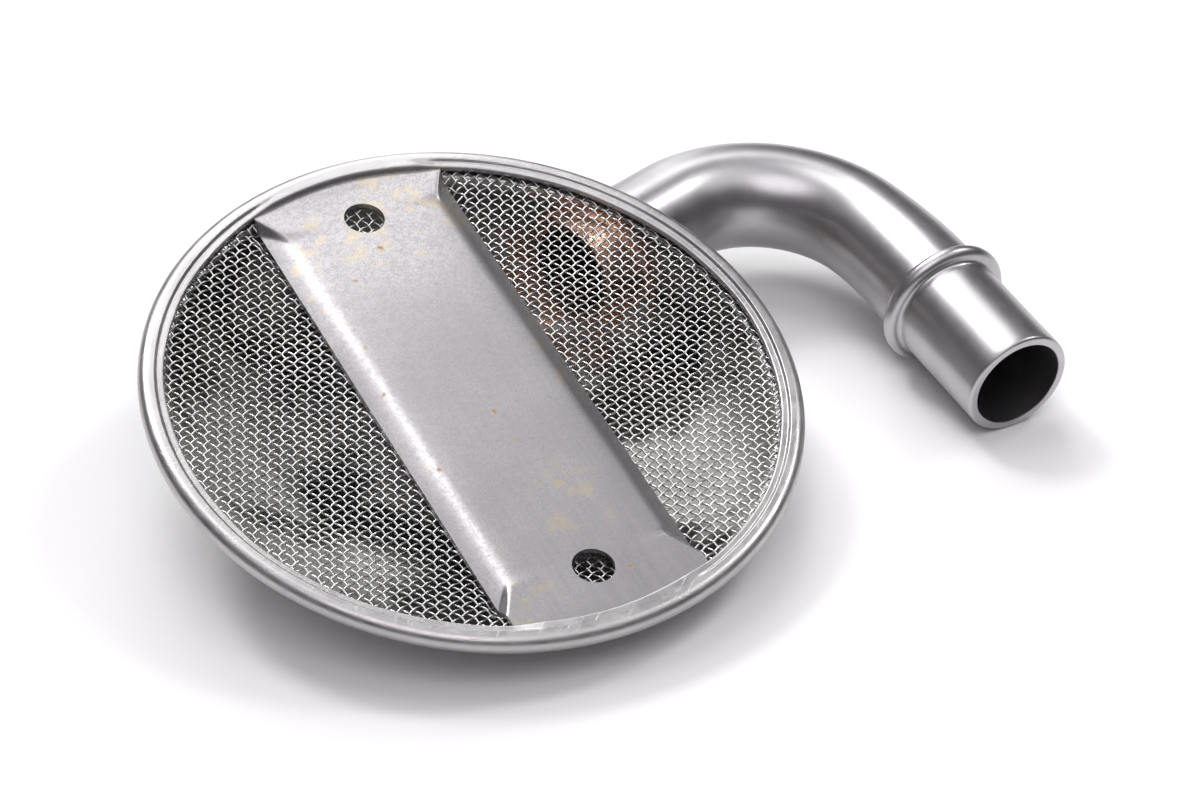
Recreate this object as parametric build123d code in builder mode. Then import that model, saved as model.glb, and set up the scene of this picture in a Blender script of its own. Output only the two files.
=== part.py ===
import os
from math import cos, hypot, radians, sin

from build123d import *

os.makedirs("parts", exist_ok=True)

# An oil pickup screen lies as it comes to rest, screen upwards. The flat bottom of its bell
# and the lowest point of its tube's mouth touch the floor, which is the plane z = 0.
# The origin is the middle of the whole object on that floor.

# Tilts of the two main parts against the floor, in degrees.
screen_tilt = 13.5
tube_tilt = 6.25

# Rolled rim: three thicknesses of sheet and the wire screen's edge, one above the other.
sheet = 0.90
wire = 0.43
screen_edge = 2 * wire
rim_radius = 53.6
lip_inner_radius = 49.5
lip_round = 0.30
clamped_radius = 51.8
wall_top_radius = 50.2

# Bell: its mouth, its middle and its flat bottom are circles that lie further and further
# towards the tube. Places are given along the strap and across it.
bell_middle_place = (3.6, -4.8)
bell_middle_depth = 13.0
bell_middle_radius = 43.5
bell_floor_place = (10.0, -14.0)
bell_floor_radius = 28.0
bell_floor_bend = 5.0
wall_drift = 0.45
towards_tube = (0.6, -0.8)

# Strap across the screen.
strap_half_width = 17.15
strap_crease = 13.95
strap_fall = 1.75
strap_bent_half = 32.0
strap_flat_from = 38.0
strap_hole_place = 40.34
strap_hole_radius = 3.39

# Woven wire screen. One ridge stands for six wires of the real weave, and one gap for the
# cells between them.
weave_angle = -71.0
ridge_pitch = 8.46
ridge_width = 0.90
gap_side = 6.20
gap_reach = 44.5
screen_flat_radius = 36.5
screen_fall_radius = 47.0
screen_drop = 1.75

# Tube: a spigot with a bead, an easing bend, a tight bend and a straight end in the bell.
# The spigot is sized a little larger than the bent tube, and its neck leads down to it.
tube_radius = 9.525
tube_bore_radius = 7.97
bend_radius_outside = 9.11
bend_bore_radius = 7.62
mouth_place = (-28.92, -87.53, -5.69)
mouth_round = 0.60
neck_place = 26.50
spigot_length = 30.58
bead_place = 23.18
bead_crest_radius = 11.59
bead_round = 1.50
bead_foot_round = 0.80
easing_radius = 72.9
easing_turn = 11.93
elbow_radius = 23.14
elbow_turn = 94.44
tube_end_length = 24.4

# Copper braze round the tube where it enters the bell.
braze_gap = 0.15
braze_leg = 1.3
hole_reach = 16.0

# Levels above and below the top of the rim's lip.
tab_top = -sheet
screen_top = -2 * sheet
flange_top = screen_top - screen_edge
flange_bottom = flange_top - sheet
roll_radius = -flange_bottom / 2
roll_place = rim_radius - roll_radius
cutting_depth = 2 * flange_bottom

# The mouth's rounded edge touches the floor, and the rest stands where that puts it.
mouth_height = (
    (tube_radius - mouth_round) * cos(radians(tube_tilt))
    + mouth_round * (1 - sin(radians(tube_tilt)))
)
screen_centre = (
    (rim_radius + mouth_place[1] - bead_crest_radius) / 2,
    -roll_radius * sin(radians(screen_tilt)),
    mouth_height
    - mouth_place[0] * sin(radians(screen_tilt))
    - mouth_place[2] * cos(radians(screen_tilt)),
)


def tilted_plane(origin, tilt):
    """A plane whose first direction climbs away from the floor along +Y."""
    angle = radians(tilt)
    return Plane(
        origin=origin, x_dir=(0, cos(angle), sin(angle)), z_dir=(0, -sin(angle), cos(angle))
    )


screen_plane = tilted_plane(screen_centre, screen_tilt)
section_plane = Plane(
    origin=screen_centre, x_dir=screen_plane.x_dir, z_dir=(1, 0, 0)
)
screen_axis = Axis(screen_centre, screen_plane.z_dir)
mouth = screen_plane.from_local_coords(mouth_place)
tube_plane = tilted_plane(mouth, tube_tilt)


def on_floor(place):
    """The point of the floor under a place of the screen plane."""
    point = screen_plane.from_local_coords((*place, 0))
    drop = point.Z / screen_plane.z_dir.Z
    return point - screen_plane.z_dir * drop


def bell_form(inset, drift):
    """The bell's filled form, its circles smaller by the inset and moved over by the drift.

    The bell's side away from the tube slopes gently, so an even wall needs its inside
    to drift towards the tube as well as to shrink.
    """
    middle = screen_plane.from_local_coords(
        (
            bell_middle_place[0] + drift * towards_tube[0],
            bell_middle_place[1] + drift * towards_tube[1],
            -bell_middle_depth,
        )
    )
    circles = (
        (screen_plane.offset(flange_top), wall_top_radius),
        (tilted_plane(middle, screen_tilt / 2), bell_middle_radius),
        (tilted_plane(on_floor(bell_floor_place) + Vector(0, 0, inset), 0), bell_floor_radius),
    )
    with BuildPart() as form:
        for plane, radius in circles:
            with BuildSketch(plane):
                Circle(radius - inset - abs(drift))
        loft()
        bottom_edge = form.edges().sort_by(Axis.Z)[0]
        fillet(bottom_edge, radius=bell_floor_bend - inset)
    return form.part


bell_outside = bell_form(0, 0)
bell_inside = bell_form(sheet, wall_drift)


with BuildLine(tube_plane) as bend_path:
    easing = JernArc((spigot_length, 0), (1, 0), easing_radius, easing_turn)
    elbow = JernArc(easing @ 1, easing % 1, elbow_radius, elbow_turn)
    tube_end = Line(elbow @ 1, elbow @ 1 + tube_end_length * (elbow % 1))

spigot_axis = Axis(mouth, tube_plane.x_dir)
tube_end_plane = Plane(tube_end ^ 1)

with BuildPart() as pickup_tube:
    with BuildSketch(tube_plane) as spigot_section:
        with BuildLine():
            Polyline(
                (0, tube_bore_radius),
                (0, tube_radius),
                (neck_place, tube_radius),
                (spigot_length, bend_radius_outside),
                (spigot_length, bend_bore_radius),
                (neck_place, tube_bore_radius),
                close=True,
            )
        make_face()
        bead_centre_radius = bead_crest_radius - bead_round
        with Locations((bead_place, bead_centre_radius)):
            Circle(bead_round)
        mouth_corners = spigot_section.vertices().group_by(Axis.X)[0]
        fillet(mouth_corners, radius=mouth_round)
        bead_feet = spigot_section.vertices().filter_by(
            lambda corner: abs(corner.X - bead_place) < bead_round and corner.Y < bead_centre_radius
        )
        fillet(bead_feet, radius=bead_foot_round)
    revolve(axis=spigot_axis)
    with BuildSketch(Plane(easing ^ 0)) as bent_section:
        Circle(bend_radius_outside)
        Circle(bend_bore_radius, mode=Mode.SUBTRACT)
    sweep(bent_section.sketch, path=bend_path.line)

with BuildPart() as rim_and_bell:
    add(bell_outside)
    add(bell_inside, mode=Mode.SUBTRACT)
    with BuildSketch(section_plane):
        with BuildLine():
            FilletPolyline(
                (lip_inner_radius, -sheet),
                (lip_inner_radius, 0),
                (roll_place, 0),
                radius=lip_round,
            )
            ThreePointArc((roll_place, 0), (rim_radius, -roll_radius), (roll_place, flange_bottom))
            Polyline(
                (roll_place, flange_bottom),
                (wall_top_radius - sheet, flange_bottom),
                (wall_top_radius - sheet, flange_top),
                (roll_place, flange_top),
            )
            ThreePointArc(
                (roll_place, flange_top), (rim_radius - sheet, -roll_radius), (roll_place, -sheet)
            )
            Line((roll_place, -sheet), (lip_inner_radius, -sheet))
        make_face()
    revolve(axis=screen_axis)

with BuildPart() as tube_hole:
    with BuildSketch(tube_end_plane):
        Circle(bend_radius_outside + braze_gap)
    extrude(amount=-hole_reach)

with BuildPart() as bell_housing:
    add(rim_and_bell.part)
    add(tube_hole.part, mode=Mode.SUBTRACT)

with BuildPart() as braze_fillet:
    add(bell_form(-braze_leg, 0))
    add(bell_form(sheet + braze_leg, wall_drift), mode=Mode.SUBTRACT)
    with BuildSketch(tube_end_plane) as braze_ring:
        Circle(bend_radius_outside + braze_gap + braze_leg)
    extrude(braze_ring.sketch, amount=-hole_reach, mode=Mode.INTERSECT)
    add(bell_housing.part, mode=Mode.SUBTRACT)
    with BuildSketch(tube_end_plane) as tube_body:
        Circle(bend_radius_outside)
    extrude(tube_body.sketch, amount=-hole_reach, mode=Mode.SUBTRACT)
    with BuildSketch(screen_plane.offset(flange_bottom - braze_gap)) as under_flange:
        Circle(rim_radius)
    extrude(under_flange.sketch, amount=rim_radius, mode=Mode.SUBTRACT)


def strap_side(side, far_u, near_u, far_fall, near_fall):
    """One bent-down edge of the strap between two places along it, as a straight-lined loft."""
    faces = []
    for place, fall in ((far_u, far_fall), (near_u, near_fall)):
        across = Plane(
            origin=screen_plane.from_local_coords((place, 0, 0)),
            x_dir=screen_plane.y_dir,
            z_dir=screen_plane.x_dir,
        )
        with BuildSketch(across) as panel:
            with BuildLine():
                Polyline(
                    (side * strap_crease, tab_top),
                    (side * strap_half_width, tab_top - fall),
                    (side * strap_half_width, tab_top - fall - sheet),
                    (side * strap_crease, tab_top - sheet),
                    close=True,
                )
            make_face()
        faces.append(panel.sketch)
    loft(faces, ruled=True)


with BuildPart() as cross_strap:
    with BuildSketch(screen_plane.offset(tab_top)) as middle_panel:
        Rectangle(2 * clamped_radius, 2 * strap_crease)
    extrude(amount=-sheet)
    for side in (-1, 1):
        strap_side(side, strap_bent_half, -strap_bent_half, strap_fall, strap_fall)
        for end in (-1, 1):
            strap_side(side, end * strap_bent_half, end * strap_flat_from, strap_fall, 0)
            strap_side(side, end * strap_flat_from, end * clamped_radius, 0, 0)
    with BuildSketch(screen_plane) as clamped_circle:
        Circle(clamped_radius)
    extrude(clamped_circle.sketch, amount=cutting_depth, mode=Mode.INTERSECT)
    with BuildSketch(screen_plane) as strap_holes:
        with Locations((strap_hole_place, 0), (-strap_hole_place, 0)):
            Circle(strap_hole_radius)
    extrude(strap_holes.sketch, amount=cutting_depth, mode=Mode.SUBTRACT)


def dished_layer(top, bottom):
    """A layer of the wire screen: flat round its edge, dished inside it."""
    with BuildPart() as layer:
        with BuildSketch(section_plane):
            with BuildLine():
                Polyline(
                    (0, top - screen_drop),
                    (screen_flat_radius, top - screen_drop),
                    (screen_fall_radius, top),
                    (clamped_radius, top),
                    (clamped_radius, bottom),
                    (screen_fall_radius, bottom),
                    (screen_flat_radius, bottom - screen_drop),
                    (0, bottom - screen_drop),
                    close=True,
                )
            make_face()
        revolve(axis=screen_axis)
    return layer.part


def weave_plane(angle):
    """The screen's plane, turned about its own middle."""
    turned = screen_plane.x_dir.rotate(Axis((0, 0, 0), screen_plane.z_dir), angle)
    return Plane(origin=screen_centre, x_dir=turned, z_dir=screen_plane.z_dir)


def ridges(layer, angle):
    """Parallel ridges cut from a layer of the screen."""
    half_count = int(screen_fall_radius / ridge_pitch)
    with BuildPart() as rows:
        with BuildSketch(weave_plane(angle)):
            for step in range(-half_count, half_count + 1):
                with Locations((0, step * ridge_pitch)):
                    Rectangle(2 * clamped_radius, ridge_width)
        extrude(amount=cutting_depth)
        add(layer, mode=Mode.INTERSECT)
    return rows.part


def gap_places():
    """Middles of the cells between the ridges, inside the clamped edge."""
    reach = int(gap_reach / ridge_pitch) + 1
    middles = [(step + 0.5) * ridge_pitch for step in range(-reach, reach)]
    return [(x, y) for x in middles for y in middles if hypot(x, y) < gap_reach]


ridge_rise = wire / 2
with BuildPart() as wire_screen:
    add(dished_layer(screen_top - ridge_rise, flange_top + ridge_rise))
    with BuildSketch(weave_plane(weave_angle)) as gaps:
        with Locations(*gap_places()):
            Rectangle(gap_side, gap_side)
    extrude(gaps.sketch, amount=cutting_depth, mode=Mode.SUBTRACT)
    add(ridges(dished_layer(screen_top, screen_top - wire), weave_angle))
    add(ridges(dished_layer(screen_top - wire, flange_top), weave_angle + 90))

pieces = {
    "bell_housing": bell_housing,
    "wire_screen": wire_screen,
    "cross_strap": cross_strap,
    "pickup_tube": pickup_tube,
    "braze_fillet": braze_fillet,
}
for name, piece in pieces.items():
    piece.part.label = name
    export_step(piece.part, f"parts/{name}.step")
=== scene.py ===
# %% [markdown]
# # An oil pickup screen, dressed for a photograph
#
# The object is the strainer that hangs in a car engine's oil sump: a stamped steel bell with a
# rolled rim, a disc of woven wire under a strap, and a bent steel tube brazed into the bell's
# side. It lies on a pale bench with its screen up. The CAD model gives the frame, and every
# piece below is a finer mesh that stands exactly where its CAD solid does. Lengths are
# written in millimetres and turned into metres by one factor, because Blender works in metres.

# %% The frame
from math import atan2, cos, degrees, pi, radians, sin, sqrt

import bmesh
import bpy
import numpy as np
from mathutils import Matrix, Vector
from mathutils.bvhtree import BVHTree


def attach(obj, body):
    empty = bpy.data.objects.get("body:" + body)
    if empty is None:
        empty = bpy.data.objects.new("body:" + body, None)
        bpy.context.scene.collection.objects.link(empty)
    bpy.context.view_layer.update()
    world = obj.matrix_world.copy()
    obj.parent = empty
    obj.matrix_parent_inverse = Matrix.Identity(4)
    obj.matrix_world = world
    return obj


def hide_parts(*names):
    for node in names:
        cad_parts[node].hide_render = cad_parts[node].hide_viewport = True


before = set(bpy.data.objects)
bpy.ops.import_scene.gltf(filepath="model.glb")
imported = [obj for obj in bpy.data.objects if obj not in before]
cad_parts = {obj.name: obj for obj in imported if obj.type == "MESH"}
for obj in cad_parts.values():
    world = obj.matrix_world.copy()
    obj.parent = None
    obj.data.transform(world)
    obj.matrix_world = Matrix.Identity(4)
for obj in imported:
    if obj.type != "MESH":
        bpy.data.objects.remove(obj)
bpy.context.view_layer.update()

MM = 0.001

# %% [markdown]
# ## Where the screen lies
#
# The bell's flat bottom and the tube's mouth both touch the bench, so the round screen is
# tilted. Most of the object is easiest to describe in the screen's own directions: along the
# strap, across it, and up out of the screen. One small function turns such a place into a
# point of the room, and takes whole arrays at once so that the meshes build quickly.

# %% The screen's own directions
screen_tilt = radians(13.5)
tube_tilt = radians(6.25)
tube_radius = 9.525
mouth_round = 0.60
rim_radius = 53.6
bead_crest = 11.59
sheet = 0.90
wire = 0.43
rim_height = 3 * sheet + 2 * wire
roll_radius = rim_height / 2
roll_place = rim_radius - roll_radius
mouth_place = (-28.92, -87.53, -5.69)

mouth_height = (tube_radius - mouth_round) * cos(tube_tilt) + mouth_round * (1 - sin(tube_tilt))
screen_height = mouth_height - mouth_place[0] * sin(screen_tilt) - mouth_place[2] * cos(screen_tilt)
screen_centre = np.array([
    (rim_radius + mouth_place[1] - bead_crest) / 2,
    -roll_radius * sin(screen_tilt),
    screen_height,
])
along = np.array([0.0, cos(screen_tilt), sin(screen_tilt)])
across = np.array([-1.0, 0.0, 0.0])
outward = np.array([0.0, -sin(screen_tilt), cos(screen_tilt)])


def on_screen(u, w, n):
    """Points in metres, from places along the strap, across it and out of the screen."""
    u, w, n = np.broadcast_arrays(u, w, n)
    flat = screen_centre + u[..., None] * along + w[..., None] * across + n[..., None] * outward
    return flat * MM


def screen_places(points):
    """The reverse: places in the screen's directions, from points in metres."""
    offset = np.asarray(points) / MM - screen_centre
    return offset @ along, offset @ across, offset @ outward


def smooth(x):
    """0 below 0, 1 above 1, and an even ease between them."""
    x = np.clip(x, 0.0, 1.0)
    return x * x * (3 - 2 * x)


print("screen centre in mm:", np.round(screen_centre, 2))

# %% [markdown]
# ## The camera
#
# The photograph looks down on the screen from the front left with a fairly long lens. Its
# place, heading and slight roll were fitted to the rim, the strap and the tube together.
# The focal length is given in pixels of a picture 1200 wide, and the sensor turns it into
# millimetres.

# %% Camera
picture_width = 1200
focal_pixels = 3901.0
camera_offset = np.array([-238.85, -450.18, 357.85])
camera_heading = radians(30.188)
camera_fall = radians(35.319)
camera_roll = radians(1.52)


def add_object(name, data):
    """A new object in the scene, for a mesh, a lamp or a camera."""
    made = bpy.data.objects.new(name, data)
    bpy.context.collection.objects.link(made)
    return made


camera_data = bpy.data.cameras.new("camera")
camera = add_object("camera", camera_data)
camera_data.sensor_width = 36.0
camera_data.lens = focal_pixels * camera_data.sensor_width / picture_width
camera_data.clip_start = 0.01
camera.location = Vector((screen_centre + camera_offset) * MM)
turn = (
    Matrix.Rotation(-camera_heading, 3, "Z")
    @ Matrix.Rotation(pi / 2 - camera_fall, 3, "X")
    @ Matrix.Rotation(camera_roll, 3, "Z")
)
camera.rotation_euler = turn.to_euler()
bpy.context.scene.camera = camera
print("lens in mm:", round(camera_data.lens, 2))

# %% [markdown]
# ## A small kit for shader nodes
#
# The room and every metal below are built from the same few shader nodes, wired by code. Each
# helper makes one node, links or sets its inputs, and returns the socket that comes out, so
# that a chain of nodes reads like a formula.

# %% Node helpers
def link_or_set(tree, socket, value):
    """Links a node's input to another socket, or sets its plain value."""
    if isinstance(value, bpy.types.NodeSocket):
        tree.links.new(value, socket)
    else:
        socket.default_value = value


def add_node(tree, kind, *inputs, **named):
    """A node whose inputs are linked or set, in their order or by name."""
    node = tree.nodes.new(kind)
    for key, value in [*enumerate(inputs), *named.items()]:
        link_or_set(tree, node.inputs[key], value)
    return node


def tree_of(values):
    """The node tree that the sockets among some values belong to."""
    return next(v.id_data for v in values if isinstance(v, bpy.types.NodeSocket))


def calculate(operation, *values):
    """A Math node. Returns its output socket."""
    node = add_node(tree_of(values), "ShaderNodeMath", *values)
    node.operation = operation
    return node.outputs[0]


def vector_math(operation, *values):
    """A Vector Math node. Returns its output: one value for a dot product or a distance."""
    node = add_node(tree_of(values), "ShaderNodeVectorMath", *values)
    node.operation = operation
    return node.outputs["Value" if operation in ("DOT_PRODUCT", "DISTANCE") else "Vector"]


def spread_range(value, low, high, to_low=0.0, to_high=1.0):
    """A smooth Map Range from low..high to to_low..to_high. Returns its output socket."""
    node = add_node(value.id_data, "ShaderNodeMapRange", value, low, high, to_low, to_high)
    node.interpolation_type = "SMOOTHSTEP"
    return node.outputs[0]


# %% [markdown]
# ## Bench and light
#
# The photograph is a plain catalogue picture: a white sheet under the part and soft light from
# behind, which throws two overlapping shadows towards the viewer. Two soft suns behind the
# object make those shadows, and a wide, slightly lilac sun from the viewer's side fills them.
# Bare metal shows little but what it reflects, so the room matters as much as the lamps: it is
# dark near the horizon, which gives the metal its dark tones, and has three soft bright windows
# high up. Two softboxes add the rest. The far end of the strap mirrors one, and the other draws
# long streaks.

# %% Floor
floor_half = 6.0
floor_data = bpy.data.meshes.new("floor")
floor_data.from_pydata(
    [(-floor_half, -floor_half, 0), (floor_half, -floor_half, 0),
     (floor_half, floor_half, 0), (-floor_half, floor_half, 0)],
    [],
    [(0, 1, 2, 3)],
)
floor = add_object("floor", floor_data)

paper = bpy.data.materials.new("white_paper")
paper.use_nodes = True
paper_shader = paper.node_tree.nodes["Principled BSDF"]
paper_shader.inputs["Base Color"].default_value = (0.93, 0.93, 0.93, 1)
paper_shader.inputs["Roughness"].default_value = 0.85
paper_shader.inputs["Specular IOR Level"].default_value = 0.2
floor_data.materials.append(paper)
print("floor in metres:", 2 * floor_half)

# %% Room
world = bpy.data.worlds.new("room")
bpy.context.scene.world = world
world.use_nodes = True
room_tree = world.node_tree
room = room_tree.nodes["Background"]
looking = add_node(room_tree, "ShaderNodeTexCoord").outputs["Generated"]
room_tint = (0.98, 0.95, 1.0)
# Each sky level is a share of the way up and its brightness. Each window is its heading and
# height, the angles where it is full and where it is gone, and its strength.
sky_levels = ((0.0, 0.10), (0.50, 0.12), (0.68, 0.18), (0.85, 0.23), (1.0, 0.34))
windows = ((-60, 60, 10, 30, 0.20), (128, 62, 8, 26, 0.90), (-2, 69, 6, 18, 3.00))


def heading_vector(heading, height):
    """A direction from degrees of heading (from +Y towards +X) and height."""
    flat = cos(radians(height))
    return (flat * sin(radians(heading)), flat * cos(radians(heading)), sin(radians(height)))


def glow(heading, height, inner, outer, strength):
    """A soft round window in the sky: full inside one angle, gone past another."""
    towards = vector_math("DOT_PRODUCT", looking, heading_vector(heading, height))
    return spread_range(towards, cos(radians(outer)), cos(radians(inner)), 0.0, strength)


climb = add_node(room_tree, "ShaderNodeSeparateXYZ", looking)
sky = add_node(room_tree, "ShaderNodeValToRGB", climb.outputs["Z"])
while len(sky.color_ramp.elements) < len(sky_levels):
    sky.color_ramp.elements.new(0.5)
for stop, (place, level) in zip(sky.color_ramp.elements, sky_levels):
    stop.position = place
    stop.color = (*(level * tint for tint in room_tint), 1)
total = sky.outputs["Color"]
for window in windows:
    total = vector_math("ADD", total, glow(*window))
room_tree.links.new(total, room.inputs["Color"])
print("sky levels:", sky_levels)


# %% Lamps
def sun(name, heading, height, spread, strength):
    """A soft sun. Heading is where it stands, in degrees from +Y towards +X."""
    data = bpy.data.lights.new(name, "SUN")
    data.energy = strength
    data.angle = radians(spread)
    lamp = add_object(name, data)
    lamp.rotation_euler = (radians(90 - height), 0, radians(180 - heading))
    return lamp


def softbox(name, place, aim, size, power):
    """A rectangular area lamp at a place in metres, turned to a point."""
    data = bpy.data.lights.new(name, "AREA")
    data.shape = "RECTANGLE"
    data.size, data.size_y = size
    data.energy = power
    lamp = add_object(name, data)
    lamp.location = place
    lamp.rotation_euler = (Vector(aim) - Vector(place)).to_track_quat("-Z", "Y").to_euler()
    return lamp


sun("back_left_sun", -16, 48, 14, 0.85)
sun("back_right_sun", 86, 48, 14, 0.60)
sun("front_fill_sun", -150, 60, 40, 0.80).data.color = (1.0, 0.95, 1.0)
softbox("strap_box", (0.155, 0.490, 0.53), (-0.02, 0, 0.02), (0.40, 0.20), 1.25)
softbox("strip_box", (0.40, 0.92, 0.42), (0.03, 0, 0.02), (0.20, 0.75), 0.8)
bpy.context.scene.view_settings.view_transform = "Standard"

# %% [markdown]
# ## Shader groups for worn steel
#
# Every metal here shares the same few effects at different strengths: a fine grain, thin
# handling scratches, cloudy patches where the metal is cleaner or duller, and small specks of
# straw-coloured rust. Inside the bell the cloudy patches also carry painted highlights. Each is
# built once as a node group with named sockets, and each material places it with its own values.
# The groups read object coordinates, so the marks stay on the metal when the view moves. They
# put out masks and heights only; the shader stays outside.

# %% Helpers for the groups
def new_group(name, inputs, outputs):
    """An empty group with float or vector sockets. Returns (tree, its inputs, its outputs)."""
    tree = bpy.data.node_groups.new(name, "ShaderNodeTree")
    for socket, value in inputs.items():
        kind = "NodeSocketVector" if value is None else "NodeSocketFloat"
        made = tree.interface.new_socket(name=socket, in_out="INPUT", socket_type=kind)
        if value is not None:
            made.default_value = value
    for socket in outputs:
        tree.interface.new_socket(name=socket, in_out="OUTPUT", socket_type="NodeSocketFloat")
    into, out = tree.nodes.new("NodeGroupInput"), tree.nodes.new("NodeGroupOutput")
    return tree, into.outputs, out.inputs


def noise(vector, scale, detail=2.0, rough=0.5):
    """A Noise texture. Returns its value socket."""
    node = add_node(vector.id_data, "ShaderNodeTexNoise", Vector=vector, Scale=scale)
    node.inputs["Detail"].default_value = detail
    node.inputs["Roughness"].default_value = rough
    return node.outputs["Fac"]


def weighted_sum(start, *terms):
    """A start value plus each mask times its weight. Returns the sum's socket."""
    for mask, weight in terms:
        start = calculate("MULTIPLY_ADD", mask, weight, start)
    return start


# %% Fine grain
grain_tree, grain_in, grain_out = new_group(
    "metal_grain", {"Vector": None, "Size": 2500.0}, ("Height", "Tone")
)
fine = noise(grain_in["Vector"], grain_in["Size"], 3.0, 0.6)
coarse_size = calculate("MULTIPLY", grain_in["Size"], 0.31)
coarse = noise(grain_in["Vector"], coarse_size, 2.0, 0.5)
grain_height = weighted_sum(0.0, (coarse, 0.3), (fine, 0.7))
grain_tree.links.new(grain_height, grain_out["Height"])
grain_tree.links.new(spread_range(grain_height, 0.36, 0.64), grain_out["Tone"])

# %% Handling scratches
scratch_tree, scratch_in, scratch_out = new_group(
    "handling_scratches",
    {"Vector": None, "Length": 90.0, "Fineness": 2600.0, "Amount": 0.5},
    ("Mask",),
)


def scratch_family(turn_degrees):
    """Thin dashes in one direction: noise stretched a long way, cut at a high level."""
    turned = add_node(scratch_tree, "ShaderNodeMapping", Vector=scratch_in["Vector"])
    turned.inputs["Rotation"].default_value = [radians(a) for a in turn_degrees]
    length, fineness = scratch_in["Length"], scratch_in["Fineness"]
    stretch = add_node(scratch_tree, "ShaderNodeCombineXYZ", length, fineness, fineness)
    long_way = vector_math("MULTIPLY", turned.outputs[0], stretch.outputs[0])
    level = weighted_sum(0.72, (scratch_in["Amount"], -0.12))
    top = calculate("ADD", level, 0.06)
    return spread_range(noise(long_way, 1.0, 1.0), level, top)


first, second, third = [scratch_family(turn) for turn in ((0, 0, 20), (10, 8, 75), (-12, 5, 140))]
either = calculate("MAXIMUM", first, calculate("MAXIMUM", second, third))
scratch_tree.links.new(either, scratch_out["Mask"])

# %% Cloudy patches and rust specks
cloud_tree, cloud_in, cloud_out = new_group(
    "dull_clouds", {"Vector": None, "Size": 60.0}, ("Cloud", "Fine Cloud")
)
wide = noise(cloud_in["Vector"], cloud_in["Size"], 4.0, 0.55)
cloud_tree.links.new(spread_range(wide, 0.35, 0.65), cloud_out["Cloud"])
small_size = calculate("MULTIPLY", cloud_in["Size"], 7.0)
small = noise(cloud_in["Vector"], small_size, 3.0, 0.6)
cloud_tree.links.new(spread_range(small, 0.35, 0.65), cloud_out["Fine Cloud"])

speck_tree, speck_in, speck_out = new_group(
    "rust_specks", {"Vector": None, "Spacing": 120.0, "Reach": 0.12, "Share": 0.3}, ("Mask",)
)
wobble = add_node(
    speck_tree, "ShaderNodeTexNoise", Vector=speck_in["Vector"], Scale=900.0, Detail=2.0
)
ragged = (0.0012, 0.0012, 0.0012)
pushed = vector_math("MULTIPLY_ADD", wobble.outputs["Color"], ragged, speck_in["Vector"])
cells = add_node(speck_tree, "ShaderNodeTexVoronoi", Vector=pushed, Scale=speck_in["Spacing"])
near = spread_range(cells.outputs["Distance"], speck_in["Reach"], 0.0)
parts = add_node(speck_tree, "ShaderNodeSeparateColor", cells.outputs["Color"])
chosen = calculate("LESS_THAN", parts.outputs[0], speck_in["Share"])
speck_tree.links.new(calculate("MULTIPLY", near, chosen), speck_out["Mask"])
print("shader groups:", [g.name for g in bpy.data.node_groups])

# %% [markdown]
# ## Meshes from rows of points
#
# Tube, bell and strap are all sheets of metal with a regular layout, so each is a grid: rows of
# points that close on themselves, joined by four-sided faces. That keeps every curve even
# and puts points only where a bend needs them. The helper takes the grid as one array. A round
# hole is then made by a boolean with a round cutter, and baked into the mesh.

# %% Helpers for pieces
def grid_faces(rows, columns, close_rows, close_columns, start=0):
    """Four-sided faces over a grid of points that are numbered row by row."""
    i, j = np.meshgrid(
        np.arange(rows if close_rows else rows - 1),
        np.arange(columns if close_columns else columns - 1),
        indexing="ij",
    )
    next_i, next_j = (i + 1) % rows, (j + 1) % columns
    corners = (i * columns + j, i * columns + next_j, next_i * columns + next_j, next_i * columns + j)
    return np.stack(corners, -1).reshape(-1, 4) + start


def new_piece(name, points, faces, node, sharp=35.0):
    """A mesh piece that stands for a CAD node, smooth except at edges sharper than an angle."""
    data = bpy.data.meshes.new(name)
    data.from_pydata(np.asarray(points).reshape(-1, 3).tolist(), [], [list(map(int, f)) for f in faces])
    data.validate()
    piece = add_object(name, data)
    finish_mesh(piece, sharp)
    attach(piece, "root")
    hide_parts(node)
    print(name, "faces:", len(data.polygons))
    return piece


def finish_mesh(piece, sharp):
    """Faces turned outwards and shaded smooth up to an angle."""
    work = bmesh.new()
    work.from_mesh(piece.data)
    bmesh.ops.recalc_face_normals(work, faces=work.faces)
    for edge in work.edges:
        edge.smooth = len(edge.link_faces) == 2 and edge.calc_face_angle(0.0) < radians(sharp)
    for face in work.faces:
        face.smooth = True
    work.to_mesh(piece.data)
    work.free()


def round_cutter(centre, axis, radius, half_length, sides=96):
    """A hidden closed cylinder for boolean cuts."""
    axis = np.asarray(axis) / np.linalg.norm(axis)
    side = np.cross(axis, [0.0, 0.0, 1.0] if abs(axis[2]) < 0.9 else [1.0, 0.0, 0.0])
    side /= np.linalg.norm(side)
    other = np.cross(axis, side)
    turn = np.arange(sides) * 2 * pi / sides
    ring = np.cos(turn)[:, None] * side + np.sin(turn)[:, None] * other
    points = np.concatenate([
        np.asarray(centre) + radius * ring - half_length * axis,
        np.asarray(centre) + radius * ring + half_length * axis,
    ])
    faces = [list(f) for f in grid_faces(2, sides, False, True)]
    faces += [list(range(sides)), list(range(2 * sides - 1, sides - 1, -1))]
    data = bpy.data.meshes.new("cutter")
    data.from_pydata(points.tolist(), [], [list(map(int, f)) for f in faces])
    cutter = add_object("cutter", data)
    finish_mesh(cutter, 35.0)
    return cutter


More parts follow.
